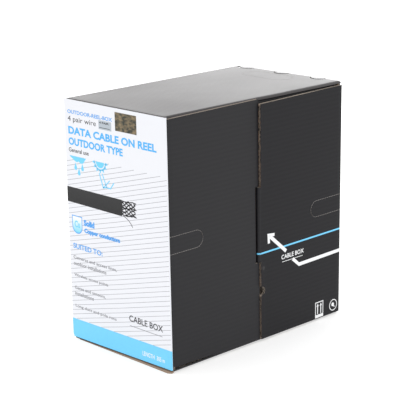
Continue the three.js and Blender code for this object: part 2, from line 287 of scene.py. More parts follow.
def add_liner(mesh, loops, low, high, cuts, folds, outside, slots, trims=()):
    """One paper liner between the levels low and high, cut on a grid so that it can bend.

    trims are (axis, place, sign) lines beyond which the liner is cut away."""
    part = bmesh.new()
    points = [part.verts.new((u, v, 0.0)) for loop in loops for u, v in loop]
    for triple in tessellate_polygon([[Vector((u, v, 0.0)) for u, v in loop] for loop in loops]):
        try:
            part.faces.new([points[i] for i in triple])
        except ValueError:
            continue
    planes = [(axis, place, 1.0, False) for axis, places in enumerate(cuts) for place in places]
    for axis, place, sign, clear in planes + [(*trim, True) for trim in trims]:
        normal = (sign, 0.0, 0.0) if axis == 0 else (0.0, sign, 0.0)
        spot = (place, 0.0, 0.0) if axis == 0 else (0.0, place, 0.0)
        everything = part.verts[:] + part.edges[:] + part.faces[:]
        bmesh.ops.bisect_plane(part, geom=everything, plane_co=spot, plane_no=normal, dist=1e-6,
                               clear_outer=clear)
    bmesh.ops.remove_doubles(part, verts=part.verts[:], dist=2e-6)
    bmesh.ops.recalc_face_normals(part, faces=part.faces[:])
    if part.faces[0].normal.z < 0.0:
        bmesh.ops.reverse_faces(part, faces=part.faces[:])
    grown = bmesh.ops.extrude_face_region(part, geom=part.faces[:])
    raised = {element for element in grown["geom"] if isinstance(element, bmesh.types.BMVert)}
    for vertex in part.verts:
        vertex.co.z = high if vertex in raised else low
    bmesh.ops.recalc_face_normals(part, faces=part.faces[:])
    for face in part.faces:
        middle = face.calc_center_median()
        at_fold = any(abs(middle[axis] - place) < 2e-4 for axis, place, _ in folds)
        sides = {vertex in raised for vertex in face.verts}
        level = len(sides) == 1
        if level and (face.normal.z > 0.0) != sides.pop():
            face.normal_flip()
        flat_out = level and (face.normal.z > 0.0) == (outside > 0.0)
        face.material_index = slots[0] if flat_out or at_fold else slots[1]
    for vertex in part.verts:
        drop = 0.0
        for axis, place, radius in folds:
            reach = radius - abs(vertex.co[axis] - place)
            if reach > 0.0:
                drop = max(drop, radius - math.sqrt(max(0.0, radius * radius - reach * reach)))
        vertex.co.z -= drop * outside
    join(mesh, part)


def join(mesh, part):
    """Adds one bmesh to another."""
    block = bpy.data.meshes.new("part")
    part.to_mesh(block)
    part.free()
    mesh.from_mesh(block)
    bpy.data.meshes.remove(block)


def add_medium(mesh, loops, along, middle, swing, limits, slot):
    """The fluted paper between the liners: a thin sine sheet that fills the outline."""
    across = 1 - along
    levels = [p[across] for p in loops[0]]
    low, high = max(min(levels), limits[across][0]), min(max(levels), limits[across][1])
    steps = max(8, int((high - low) / FLUTE * 8))
    columns = max(1, round((limits[along][1] - limits[along][0]) / 0.03))
    half = 0.00013
    previous = []
    for i in range(steps + 1):
        level = low + 1e-5 + (high - low - 2e-5) * i / steps
        height = middle + swing * math.sin(2.0 * math.pi * level / FLUTE)
        row = []
        for a, b in crossings(loops, across, level):
            a, b = max(a, limits[along][0]), min(b, limits[along][1])
            if b - a < 1e-3:
                continue
            pairs = []
            for k in range(columns + 1):
                pair = []
                for side in (half, -half):
                    spot = [0.0, 0.0, height + side]
                    spot[along] = a + (b - a) * k / columns
                    spot[across] = level
                    pair.append(mesh.verts.new(spot))
                pairs.append(pair)
            row.append([pair[0] for pair in pairs] + [pair[1] for pair in reversed(pairs)])
        faces = []
        joined = len(previous) == len(row)
        if joined:
            for old, new in zip(previous, row):
                size = len(old)
                faces += [mesh.faces.new((old[k], old[(k + 1) % size], new[(k + 1) % size], new[k]))
                          for k in range(size)]
        ends = ([] if joined else previous + row) + (row if joined and i == steps else [])
        for ring in ends:
            size = len(ring)
            faces += [mesh.faces.new((ring[k], ring[k + 1], ring[size - 2 - k], ring[size - 1 - k]))
                      for k in range(size // 2 - 1)]
        for face in faces:
            face.material_index = slot
        previous = row


def spread(low, high, step):
    """Grid places from low to high, no more than step apart."""
    count = max(1, math.ceil((high - low) / step))
    return [low + (high - low) * k / count for k in range(1, count)]


def finish_piece(name, mesh, materials, smooth=35.0, turn=True):
    """Turns a bmesh in world metres into an object with its materials and smooth folds."""
    if turn:
        bmesh.ops.recalc_face_normals(mesh, faces=mesh.faces[:])
    block = bpy.data.meshes.new(name)
    mesh.to_mesh(block)
    mesh.free()
    for material in materials:
        block.materials.append(material)
    block.shade_smooth()
    block.set_sharp_from_angle(angle=math.radians(smooth))
    piece = bpy.data.objects.new(name, block)
    bpy.context.collection.objects.link(piece)
    return piece


def to_world(mesh, plane, warp=None):
    """Turns (u, v, level) on a plane into world metres, then warps each point."""
    for vertex in mesh.verts:
        place = TO_WORLD[plane](*vertex.co)
        vertex.co = warp(Vector(place)) if warp else place


def board(name, plane, loops, inner, outer, along, materials, folds=(), warp=None, step=0.012, short=None):
    """A piece of corrugated board: two liners on a fluted medium, cut to the outline loops.

    inner and outer are the board's two faces on the plane's axis, along is the outline axis that the
    flutes run along, folds are (axis, place, radius) edges where the board bends away, and warp
    moves each finished point. short is a low end of u where all but the outer liner stops."""
    outside = 1.0 if outer > inner else -1.0
    us = [p[0] for p in loops[0]]
    vs = [p[1] for p in loops[0]]
    cuts = [spread(min(us), max(us), step), spread(min(vs), max(vs), step)]
    limits = [[min(us), max(us)], [min(vs), max(vs)]]
    for axis, place, radius in folds:
        inward = 1.0 if place - limits[axis][0] < limits[axis][1] - place else -1.0
        cuts[axis] += [place + inward * radius * share for share in FOLD_STEPS]
    clip = [list(limit) for limit in limits]
    trims = []
    for axis, place, radius in folds:
        end = 0 if place - limits[axis][0] < limits[axis][1] - place else 1
        clip[axis][end] = place + radius * (1.0 if end == 0 else -1.0)
        trims.append((axis, clip[axis][end], -1.0 if end == 0 else 1.0))
    if short is not None:
        clip[0][0] = short
        trims.append((0, short, -1.0))
    mesh = bmesh.new()
    outer_in = outer - outside * LINER
    add_liner(mesh, loops, min(outer, outer_in), max(outer, outer_in), cuts, folds, outside, (0, 2))
    inner_out = inner + outside * LINER
    add_liner(mesh, loops, min(inner, inner_out), max(inner, inner_out), cuts, (), -outside, (1, 2), trims)
    swing = (abs(outer - inner) - 2.0 * LINER) / 2.0 - 0.0002
    sheets = len(mesh.faces)
    add_medium(mesh, loops, along, (inner + outer) / 2.0, swing, clip, 2)
    bmesh.ops.recalc_face_normals(mesh, faces=list(mesh.faces)[sheets:])
    if plane == "Y":
        bmesh.ops.reverse_faces(mesh, faces=mesh.faces[:])
    to_world(mesh, plane, warp)
    return finish_piece(name, mesh, materials, turn=False)


def loft(mesh, rings, capped=True):
    """Joins each ring of points to the next, and closes the two ends."""
    for one, two in zip(rings, rings[1:]):
        for j in range(len(one)):
            after = (j + 1) % len(one)
            mesh.faces.new((one[j], one[after], two[after], two[j]))
    if capped:
        for ring in (rings[0], rings[-1]):
            mesh.faces.new(ring)


def rectangle(left, low, right, high):
    """An outline with four square corners."""
    return [(left, low), (right, low), (right, high), (left, high)]


def corners(node):
    """The low and high corner of a CAD node's box."""
    return tuple(Vector(corner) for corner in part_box(node))


def hand_over(piece, body, slot, *nodes):
    """Puts a piece on its body and hides the CAD nodes it stands for. slot is not used."""
    if nodes:
        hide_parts(*nodes)
    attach(piece, body)


def arc(centre, radius, start, end, steps, stretch=1.0):
    """Points of a round stretch from start to end degrees."""
    angles = [math.radians(start + (end - start) * k / steps) for k in range(steps + 1)]
    return [(centre[0] + radius * math.cos(a), centre[1] + radius * stretch * math.sin(a)) for a in angles]


# ------------------------------
# Sleeve: front, top, back and bottom panels of one folded blank. The top's rear crease has three
# half-moon slots, and the back panel's lugs come up through them.
low, high = corners("front_panel")
front_in, front_out = high.y, low.y
panel_x = high.x
front_top = high.z
front_low_left = low.z
front_low_right = 0.0066


def front_bottom(x):
    """The front panel's lower edge, which is lifted towards +X."""
    return front_low_left + (front_low_right - front_low_left) * (x + panel_x) / (2.0 * panel_x)


def lean_back(point):
    """How far the back leans out, from nothing at its foot to a few millimetres at the top."""
    return max(0.0, point.y / 0.1749) * 0.0125 * point.z


def flare(point):
    """The left front corner has spread a few millimetres, and the back leans out towards the top."""
    out = max(0.0, -point.x / 0.105) * max(0.0, -point.y / 0.1742) * (0.0050 - 0.0022 * point.z)
    return point + Vector((-out, lean_back(point), 0.0))


front_outline = [[(-panel_x, front_bottom(-panel_x)), (panel_x, front_bottom(panel_x)), (panel_x, front_top),
                  (-panel_x, front_top)]]
front_panel = board("front_panel_board", "Y", front_outline, front_in, front_out, 0,
                    BLACK_BOARD, warp=flare, step=0.02)
hand_over(front_panel, "carton", "carton_black", "front_panel")

low, high = corners("top_panel")
top_z, top_in = high.z, low.z
top_front, top_back = low.y, high.y
hole_low, hole_high = corners("carry_hole_tab")
HOLE_GAP = 0.0005
FOLD = 0.0034
FLAP_FOLD = 0.0036
lug_places = (-0.087, -0.013, 0.061)
LUG_WIDTH, LUG_DEPTH, SLIT = 0.026, 0.013, 0.0017


def stadium(low_corner, high_corner, grow=0.0):
    """A slot with round ends between two corners, along the first axis."""
    radius = (high_corner[1] - low_corner[1]) / 2.0 + grow
    middle = (high_corner[1] + low_corner[1]) / 2.0
    near, far = low_corner[0] - grow + radius, high_corner[0] + grow - radius
    return arc((far, middle), radius, -90, 90, 14) + arc((near, middle), radius, 90, 270, 14)


top_outline = [(-panel_x, top_front), (panel_x, top_front), (panel_x, top_back)]
for centre in reversed(lug_places):
    half = LUG_WIDTH / 2.0 + SLIT
    top_outline += arc((centre, top_back), half, 0, -180, 14, (LUG_DEPTH + SLIT) / half)
top_outline += [(-panel_x, top_back)]


def settle_top(point):
    """The top dips a little towards the middle, and its left and rear rims have spread over the doors."""
    share = max(0.0, 1.0 - (point.x / panel_x) ** 2) * max(0.0, 1.0 - (point.y / top_back) ** 2)
    ripple = math.sin(point.x * 31.0 + 1.0) * math.sin(point.y * 23.0)
    rim = max(0.0, abs(point.x) / panel_x - 0.8) / 0.2
    wider = -0.0042 * rim if point.x < 0.0 else 0.0015 * rim * min(1.0, max(0.0, point.y / 0.03))
    return point + Vector((wider, lean_back(point), -share * (0.0009 + 0.0004 * ripple)))


top_folds = [(0, -panel_x, 0.0012), (0, panel_x, FOLD), (1, top_front, FOLD), (1, top_back, FOLD)]
top_loops = [top_outline, stadium(hole_low, hole_high, HOLE_GAP)]
top_panel = board("top_panel_board", "Z", top_loops, top_in, top_z, 0,
                  (top_ink_painted_lighter, kraft_liner, kraft_raw), top_folds, settle_top, 0.01, 0.005 - panel_x)
hand_over(top_panel, "carton", "carton_black", "top_panel")

low, high = corners("back_panel")
back_out, back_in = high.y, high.y - BOARD
back_top = top_in - 0.0003
back_outline = [rectangle(-panel_x, 0.0, panel_x, back_top)]
back_panel = board("back_panel_board", "Y", back_outline, back_in, back_out, 0,
                   BLACK_BOARD, [(1, 0.0, FOLD)], flare, 0.02)
hand_over(back_panel, "carton", "carton_black", "back_panel")

low, high = corners("bottom_panel")
bottom_outline = [rectangle(-panel_x, low.y, panel_x, high.y)]
bottom_panel = board("bottom_panel_board", "Z", bottom_outline, high.z, low.z, 0,
                     (ink_y, kraft_liner, kraft_raw), [(0, -panel_x, FLAP_FOLD), (0, panel_x, FLAP_FOLD)],
                     step=0.02)
hand_over(bottom_panel, "carton", "carton_black", "bottom_panel")

glue_low, glue_high = corners("glue_flap")
glue_outline = [rectangle(glue_low.x, 0.0, glue_high.x, glue_high.z)]
glue_flap = board("glue_flap_board", "Y", glue_outline, glue_high.y, glue_low.y, 0,
                  (kraft_liner, kraft_liner, kraft_raw), [(1, 0.0, FOLD)], flare, 0.02)
hand_over(glue_flap, "carton", "kraft_board", "glue_flap")

crease = bmesh.new()
CREASE_BACK = -0.1694
rings = []
for k in range(41):
    share = k / 40.0
    x = -0.0965 + 0.1985 * share
    end = min(1.0, (1.0 - share) * 40.0) ** 0.5
    front = -0.1738 - 0.0030 * share * end
    tall = 0.0006 + 0.0028 * share * (0.6 + 0.4 * end)
    ease = min(0.0011, tall * 0.4)
    eased_corner = front + ease * 0.3
    profile = [(CREASE_BACK, 0.00005), (front + ease, 0.00005), (eased_corner, ease * 0.3), (front, ease),
               (front, tall - ease), (eased_corner, tall - ease * 0.3), (front + ease, tall),
               (CREASE_BACK, tall)]
    rings.append([crease.verts.new((x, y, z)) for y, z in profile])
loft(crease, rings)
crease_strip = finish_piece("bottom_crease", crease, [kraft("kraft_crease", (0.30, 0.215, 0.155))], 60.0)
hand_over(crease_strip, "carton", "kraft_board")


# ------------------------------
# Half-moon lugs and the carry hole's tab: the lugs are cut from the top, stay on the back panel and
# stand a little proud; the tab still closes the carry hole.
LUG_RISE = 0.0004
# The lugs' print is the same black as the top, given a grey base colour and a strong coat ramp: a painted
# highlight that makes them read lighter than the top.
lug_print = printed_board("lug_print", "y", (0.070, 0.067, 0.070), 0.9, (0.75, 0.10, 0.12))
for number, centre in enumerate(lug_places):
    outline = arc((centre, back_out), LUG_WIDTH / 2.0, 180, 360, 16, LUG_DEPTH / (LUG_WIDTH / 2.0))
    lug = board("lug_%d" % (number + 1), "Z", [outline], top_in, top_z + LUG_RISE, 0,
                (lug_print, kraft_liner, lug_print), [(1, back_out, FOLD)], flare, 0.006)
    hand_over(lug, "carton", "carton_black")

tab_outline = [stadium(hole_low, hole_high)]
carry_tab = board("carry_tab_board", "Z", tab_outline, top_in, top_z, 0, (top_ink_painted_lighter, kraft_liner, kraft_raw),
                  (), settle_top, 0.01)
hand_over(carry_tab, "carry_tab", "carton_black", "carry_hole_tab")


# ------------------------------
# Doors: two outer flaps on each large face. They meet at the middle; the back one stands proud and
# shows its raw fluted edge, with the cable notch cut half round in it.
def stand_proud(side):
    """The back doors bow out towards their free edge, more at the top than at the bottom."""
    def move(point):
        reach = min(1.0, max(0.0, 1.0 - point.y / back_out))
        proud = 0.002 + 0.002 * point.z / 0.36
        return flare(point + Vector((side * proud * reach, 0.0, 0.0)))
    return move


def d_points(crease, tip, middle, height):
    """The round end of a hand tab, from its lower side to its upper side."""
    radius = height / 2.0
    if tip > crease:
        return arc((tip - radius, middle), radius, -90, 90, 16)
    return arc((tip + radius, middle), radius, 270, 90, 16)


FRONT_CREASE = -0.1737
NOTCH = (0.002, 0.078)
NOTCH_R = 0.0065
DOOR_FACES = (0.101, 0.105)
CUT = 0.0003
FOLD_RADIUS = {"front": 0.003, "back": 0.0018}
for side, hand in SIDES:
    inner, outer = (side * face for face in DOOR_FACES)
    for end in ("front", "back"):
        door, tab = "%s_door_%s" % (end, hand), "hand_tab_%s_%s" % (end, hand)
        door_low, door_high = corners(door)
        tab_low, tab_high = corners(tab)
        middle, height = (tab_low.z + tab_high.z) / 2.0, tab_high.z - tab_low.z
        if end == "front":
            crease, edge, tip, away = FRONT_CREASE, door_high.y, tab_high.y, CUT
        else:
            crease, edge, tip, away = door_high.y, door_low.y, tab_low.y, -CUT
        cut = d_points(crease, tip + away, middle, height + 2.0 * CUT)
        if end == "front":
            outline = [(crease, 0.0105), (-0.048, 0.0048), (edge, 0.0039), (edge, 0.1206), (-0.0074, 0.1206),
                       (-0.0074, 0.2336), (edge, 0.2336), (edge, 0.3589), (crease, 0.3570)]
            outline += [(crease, cut[-1][1])] + cut[::-1] + [(crease, cut[0][1])]
            print_look, rim, move = ink_z, kraft_raw, flare
        else:
            reach = math.sqrt(NOTCH_R ** 2 - (edge - NOTCH[0]) ** 2)
            notch = [p for p in arc(NOTCH, NOTCH_R, 100, -100, 24) if p[0] > edge + 1e-5]
            outline = [(crease, 0.0030), (crease, cut[0][1])] + cut
            outline += [(crease, cut[-1][1]), (crease, 0.3540), (edge, 0.3523), (edge, NOTCH[1] + reach)]
            outline += notch + [(edge, NOTCH[1] - reach), (edge, 0.0042)]
            print_look, rim, move = ink_back, door_rim, stand_proud(side)
        bend = [(0, crease, FOLD_RADIUS[end])]
        panel = board("%s_door_board_%s" % (end, hand), "X", [outline], inner, outer, 0,
                      (print_look, kraft_liner, rim), bend, move)
        hand_over(panel, door, "carton_black", door)

        outline = [(crease, middle - height / 2.0)] + d_points(crease, tip, middle, height)
        outline += [(crease, middle + height / 2.0)]
        flap = board("hand_tab_%s_board_%s" % (end, hand), "X", [outline], inner, outer, 0,
                     (print_look, kraft_liner, kraft_raw), bend, move)
        hand_over(flap, tab, "carton_black", tab)


# Each door's crease: the board's crushed fold, which stays on the carton and fills the bend.
for side, hand in SIDES:
    for end, crease, inward in (("front", FRONT_CREASE, 1.0), ("back", back_out, -1.0)):
        door_low, door_high = corners("%s_door_%s" % (end, hand))
        radius = FOLD_RADIUS[end]
        bend = arc((0.105 - radius, radius), radius - 0.0006, 0, -90, 6)
        section = [(0.1008, radius)] + bend + [(0.1008, 0.0006)]
        fold = bmesh.new()
        rings = [[fold.verts.new(flare(Vector((side * x, crease + inward * y, z)))) for x, y in section]
                 for z in (0.012, 0.10, 0.19, 0.28, door_high.z - 0.003)]
        loft(fold, rings)
        crease_fold = finish_piece("door_crease_%s_%s" % (end, hand), fold, [ink_z], 50.0)
        hand_over(crease_fold, "carton", "carton_black")


# ------------------------------
# Tuck tongues: each back door's tongue is creased and bent in behind the recess in the front door.
TONGUE_FOLD = 0.0037
for side, hand in SIDES:
    low, high = corners("tuck_tongue_" + hand)
    near, far = side * 0.0984, side * DOOR_FACES[1]
    outline = [rectangle(near, low.z, far, high.z)]
    tongue = board("tuck_tongue_board_" + hand, "Y", outline, high.y, low.y, 0,
                   BLACK_BOARD, [(0, far, TONGUE_FOLD)], stand_proud(side), 0.006)
    hand_over(tongue, "back_door_" + hand, "carton_black", "tuck_tongue_" + hand)


# ------------------------------
# Inner flaps and axle plates: the short flaps fold down and up behind the doors; the plates are
# loose inserts of unprinted board that stand behind them and carry the axle.
AXIS_Z = 0.18
AXLE_HOLE_R = 0.0164


def circle(centre, radius, count=32):
    return arc(centre, radius, 0, 360, count)[:-1]


for hand in ("right", "left"):
    for level in ("top", "bottom"):
        node = level + "_inner_flap_" + hand
        low, high = corners(node)
        inner, outer = (low.x, high.x) if high.x > 0.0 else (high.x, low.x)
        loops = [rectangle(low.y, low.z, high.y, high.z)]
        if level == "bottom":
            loops.append(circle(NOTCH, 0.010))
        fold = (1, high.z if level == "top" else low.z, FLAP_FOLD)
        flap = board(node + "_board", "X", loops, inner, outer, 1, (ink_y, kraft_liner, kraft_raw),
                     [fold], step=0.02)
        hand_over(flap, "carton", "carton_black", node)
    node = "axle_plate_" + hand
    low, high = corners(node)
    inner, outer = (low.x, high.x) if high.x > 0.0 else (high.x, low.x)
    loops = [rectangle(low.y, low.z, high.y, high.z),
             circle((0.0, AXIS_Z), AXLE_HOLE_R, 48), circle(NOTCH, 0.010)]
    plate = board(node + "_board", "X", loops, inner, outer, 1, (kraft_liner, kraft_liner, kraft_raw),
                  step=0.02)
    hand_over(plate, "carton", "kraft_board", node)


# ------------------------------
# Axle: a spiral-wound paper tube through both plates, with a spacer ring at each end.
SPIRAL = 0.045


def turned(name, profiles, materials, count=96, smooth=40.0):
    """Rings turned about the reel's axis, each from a closed profile of (x, radius) points."""
    mesh = bmesh.new()
    for profile in profiles:
        rings = []
        for k in range(count):
            angle = 2.0 * math.pi * k / count
            y, z = math.sin(angle), math.cos(angle)
            rings.append([mesh.verts.new((x, r * y, AXIS_Z + r * z)) for x, r in profile])
        loft(mesh, rings + rings[:1], capped=False)
    return finish_piece(name, mesh, materials, smooth)


def eased(x0, x1, r0, r1, ease=0.0004):
    """A rectangular section with small eased corners."""
    return [(x0 + ease, r0), (x1 - ease, r0), (x1, r0 + ease), (x1, r1 - ease), (x1 - ease, r1),
            (x0 + ease, r1), (x0, r1 - ease), (x0, r0 + ease)]


def spiral_paper():
    """Kraft tube stock: a spiral seam runs round it every few centimetres."""
    finish = Finish("spiral_kraft_tube", (0.34, 0.22, 0.12), 0.7)
    fibre = finish.noise(800.0, 4.0)
    turn = finish.y.math("ARCTAN2", finish.y, finish.z - AXIS_Z)
    phase = finish.x + turn * (SPIRAL / (2.0 * math.pi))
    seam = phase.wave(SPIRAL) > 0.985
    finish.colour(finish.tint((fibre + seam * 0.5).clamp(), (0.38, 0.25, 0.14), (0.24, 0.15, 0.08)))
    finish.bump(fibre * 0.5 - seam * 1.0, 0.0002)
    return finish.material


tube_paper = spiral_paper()
low, high = corners("axle_tube")
axle = turned("axle_tube_paper", [eased(low.x, high.x, 0.013, 0.016)], [tube_paper])
hand_over(axle, "carton", "kraft_tube", "axle_tube")
for hand in ("right", "left"):
    node = "axle_spacer_" + hand
    low, high = corners(node)
    spacer = turned(node + "_paper", [eased(low.x, high.x, AXLE_HOLE_R, 0.024)], [tube_paper])
    hand_over(spacer, "carton", "kraft_tube", node)


# ------------------------------
# Reel: two fibreboard flanges on a paper barrel, wound full of black outdoor cable. The last
# layer stops part of the way across.
def fibreboard():
    finish = Finish("flange_fibreboard", (0.26, 0.165, 0.09), 0.62)
    fleck = finish.noise(420.0, 6.0)
    cloud = finish.noise(14.0, 3.0)
    share = (fleck * 0.9 + cloud * 0.4 - 0.2).clamp()
    finish.colour(finish.tint(share, (0.17, 0.105, 0.06), (0.36, 0.25, 0.15)))
    finish.rough(0.52 + fleck * 0.2)
    finish.bump(fleck, 0.00012)
    return finish.material


flange_board = fibreboard()
for hand in ("right", "left"):
    node = "reel_flange_" + hand
    low, high = corners(node)
    loops = [circle((0.0, AXIS_Z), 0.165, 144), circle((0.0, AXIS_Z), AXLE_HOLE_R, 64)]
    for k in range(6):
        angle = math.radians(60.0 * k + 30.0)
        loops.append(circle((0.036 * math.cos(angle), AXIS_Z + 0.036 * math.sin(angle)), 0.0075, 24))
    mesh = bmesh.new()
    add_liner(mesh, loops, low.x, high.x, [[], []], (), 1.0, (0, 0))
    rims = [edge for edge in mesh.edges if len(edge.link_faces) == 2 and edge.calc_face_angle(0.0) > 1.2]
    bmesh.ops.bevel(mesh, geom=rims, offset=0.0005, segments=2, affect="EDGES")
    to_world(mesh, "X")
    flange = finish_piece(node + "_disc", mesh, [flange_board], 30.0)
    hand_over(flange, "reel", "reel_board", node)

low, high = corners("reel_barrel")
barrel = turned("reel_barrel_paper", [eased(low.x, high.x, 0.046, 0.050)], [tube_paper])
hand_over(barrel, "reel", "kraft_tube", "reel_barrel")


class Tree:
    """A Geometry Nodes tree with named inputs, run once on an object and turned into a plain mesh."""

    def __init__(self, name):
        self.tree = bpy.data.node_groups.new(name, "GeometryNodeTree")
        self.tree.interface.new_socket("Geometry", in_out="INPUT", socket_type="NodeSocketGeometry")
        self.tree.interface.new_socket("Geometry", in_out="OUTPUT", socket_type="NodeSocketGeometry")
        self.start = self.tree.nodes.new("NodeGroupInput")
        self.end = self.tree.nodes.new("NodeGroupOutput")
        self.values = {}

    def size(self, name, value, kind="NodeSocketFloat"):
        """A named input of the tree."""
        socket = self.tree.interface.new_socket(name, in_out="INPUT", socket_type=kind)
        self.values[socket.identifier] = value
        return self.start.outputs[name]

    def node(self, kind, settings=None, inputs=None):
        made = self.tree.nodes.new(kind)
        for key, value in (settings or {}).items():
            setattr(made, key, value)
        for key, value in (inputs or {}).items():
            if isinstance(value, bpy.types.NodeSocket):
                self.tree.links.new(value, made.inputs[key])
            else:
                made.inputs[key].default_value = value
        return made

    def close(self, geometry, material):
        """Realize Instances and Set Material end every tree."""
        real = self.node("GeometryNodeRealizeInstances", None, {"Geometry": geometry})
        paint = self.node("GeometryNodeSetMaterial", None,
                          {"Geometry": real.outputs[0], "Material": material})
        self.tree.links.new(paint.outputs[0], self.end.inputs[0])

    def mesh_of(self, name, carrier, material):
        """Runs the tree on carrier and returns its result as a new mesh."""
        modifier = carrier.modifiers.new(name, "NODES")
        modifier.node_group = self.tree
        for identifier, value in self.values.items():
            modifier[identifier] = value
        bpy.context.view_layer.update()
        depsgraph = bpy.context.evaluated_depsgraph_get()
        mesh = bpy.data.meshes.new_from_object(carrier.evaluated_get(depsgraph))
        mesh.name = name
        if not mesh.materials:
            mesh.materials.append(material)
        carrier.modifiers.remove(modifier)
        bpy.data.objects.remove(carrier)
        return mesh


def carrier_object(name, points=None):
    """An object for a tree to run on: a poly curve through points, or an empty mesh."""
    if points is None:
        thing = bpy.data.objects.new(name, bpy.data.meshes.new(name))
    else:
        curve = bpy.data.curves.new(name, "CURVE")
        curve.dimensions = "3D"
        spline = curve.splines.new("POLY")
        spline.points.add(len(points) - 1)
        for point, place in zip(spline.points, points):
            point.co = (*place, 1.0)
        thing = bpy.data.objects.new(name, curve)
    bpy.context.collection.objects.link(thing)
    return thing


def jacket():
    finish = Finish("cable_jacket", (0.012, 0.012, 0.013), 0.42)
    fine = finish.noise(500.0, 3.0)
    cloud = finish.noise(30.0, 3.0)
    finish.rough(0.34 + cloud * 0.2 + fine * 0.05)
    finish.colour(finish.tint(cloud, (0.009, 0.009, 0.010), (0.020, 0.020, 0.021)))
    finish.bump(fine, 0.00003)
    return finish.material


CABLE_R = 0.003
cable_jacket = jacket()
winding = bmesh.new()
for radius, turns, start in ((0.1468, 23, -0.0702), (0.1519, 15, -0.0702)):
    helix = Tree("wound_layer")
    coil = helix.node("GeometryNodeCurveSpiral", None, {
        "Resolution": 72, "Rotations": helix.size("Turns", float(turns)),
        "Start Radius": helix.size("Radius", radius), "End Radius": radius,
        "Height": helix.size("Width", turns * 0.0061)})
    section = helix.node("GeometryNodeCurvePrimitiveCircle", None, {
        "Resolution": 10, "Radius": helix.size("Cable radius", CABLE_R)})
    sweep = helix.node("GeometryNodeCurveToMesh", None, {
        "Curve": coil.outputs[0], "Profile Curve": section.outputs[0], "Fill Caps": True})
    helix.close(sweep.outputs[0], cable_jacket)
    layer = helix.mesh_of("wound_layer", carrier_object("layer"), cable_jacket)
    layer.transform(Matrix.Translation((start, 0.0, AXIS_Z)) @ Matrix.Rotation(math.radians(90.0), 4, "Y"))
    winding.from_mesh(layer)
core = turned("core", [eased(-0.0732, 0.0732, 0.0505, 0.1448)], [cable_jacket])
winding.from_mesh(core.data)
bpy.data.objects.remove(core)
wound_cable = finish_piece("cable_winding_wraps", winding, [cable_jacket], 45.0)
hand_over(wound_cable, "reel", "cable_jacket", "cable_winding")


# ------------------------------
# Perforations: the hand tabs and the carry hole's tab hang on short paper ties, pale where the
# cutting rule has nicked the print.
def tie_paper():
    finish = Finish("perforation_ties", (0.30, 0.29, 0.28), 0.8)
    fibre = finish.noise(900.0, 3.0)
    finish.colour(finish.tint(fibre, (0.17, 0.16, 0.155), (0.46, 0.44, 0.42)))
    return finish.material


tie_finish = tie_paper()
TIE_LIFT = 0.00003


def perforate(name, points, body, spacing=0.0040, size=(0.0022, 0.0006, 0.00006)):
    """Small flat ties along a path of world points."""
    ties = Tree("perforation")
    along = ties.size("Spacing", spacing)
    even = ties.node("GeometryNodeResampleCurve", {"mode": "LENGTH"},
                     {"Curve": ties.start.outputs[0], "Length": along})
    tie = ties.node("GeometryNodeMeshCube", None, {"Size": ties.size("Tie size", size, "NodeSocketVector")})
    tangent = ties.node("GeometryNodeInputTangent")
    turn = ties.node("FunctionNodeAlignRotationToVector", {"axis": "X"}, {"Vector": tangent.outputs[0]})
    row = ties.node("GeometryNodeInstanceOnPoints", None, {
        "Points": even.outputs[0], "Instance": tie.outputs[0], "Rotation": turn.outputs[0]})
    ties.close(row.outputs[0], tie_finish)
    mesh = ties.mesh_of(name, carrier_object(name + "_path", points), tie_finish)
    piece = bpy.data.objects.new(name, mesh)
    bpy.context.collection.objects.link(piece)
    hand_over(piece, body, "carton_black")
    return piece


for side, hand in SIDES:
    for end, crease, grow in (("front", FRONT_CREASE, 1.0), ("back", back_out, -1.0)):
        low, high = corners("hand_tab_%s_%s" % (end, hand))
        middle, height = (low.z + high.z) / 2.0, high.z - low.z + 0.0003
        tip = high.y if end == "front" else low.y
        outline = [(crease + grow * 0.002, middle - height / 2.0)] + d_points(crease, tip, middle, height)
        outline += [(crease + grow * 0.002, middle + height / 2.0)]
        move = stand_proud(side) if end == "back" else flare
        path = [move(Vector((side * (0.105 + TIE_LIFT), u, v))) for u, v in outline]
        perforate("perforation_%s_%s" % (end, hand), path, "%s_door_%s" % (end, hand),
                  size=(0.0022, 0.00006, 0.0006))

hole_path = stadium(hole_low, hole_high, HOLE_GAP / 2.0)
hole_path.append(hole_path[0])
hole_path = [settle_top(Vector((u, v, top_z + TIE_LIFT))) for u, v in hole_path]
perforate("perforation_carry_hole", hole_path, "carton")


# ------------------------------
# Label: one printed sheet over the whole narrow face. The print is laid on it as thin films.
def paper(name, tone, roughness=0.42):
    finish = Finish(name, tone, roughness)
    fibre = finish.noise(1200.0, 3.0)
    cloud = finish.noise(7.0, 2.0)
    finish.colour(finish.tint(cloud, tuple(c * 0.975 for c in tone), tone))
    finish.rough(roughness - 0.04 + fibre * 0.08)
    finish.bump(fibre * 0.4 + finish.z.wave(FLUTE) * 0.12, 0.00005)
    return finish.material


label_low, label_high = corners("front_label")
label_face = label_low.y
label_white = paper("label_paper", (0.775, 0.785, 0.825))
LABEL_FOLD = [(0, 0.1043, 0.0014)]
label_outline = [(-0.1030, 0.0028), (0.1043, 0.0054), (0.1043, label_high.z), (-0.1043, label_high.z),
                 (-0.1048, 0.0078)]
mesh = bmesh.new()
cuts = [spread(-0.105, 0.104, 0.02) + [0.1029, 0.1034, 0.1039], spread(0.005, label_high.z, 0.02)]
add_liner(mesh, [label_outline], label_low.y, label_high.y, cuts, LABEL_FOLD, -1.0, (0, 0))
to_world(mesh, "Y", flare)
label = finish_piece("front_label_sheet", mesh, [label_white], 50.0)
hand_over(label, "carton", "label_paper", "front_label")

FILM = 0.00004


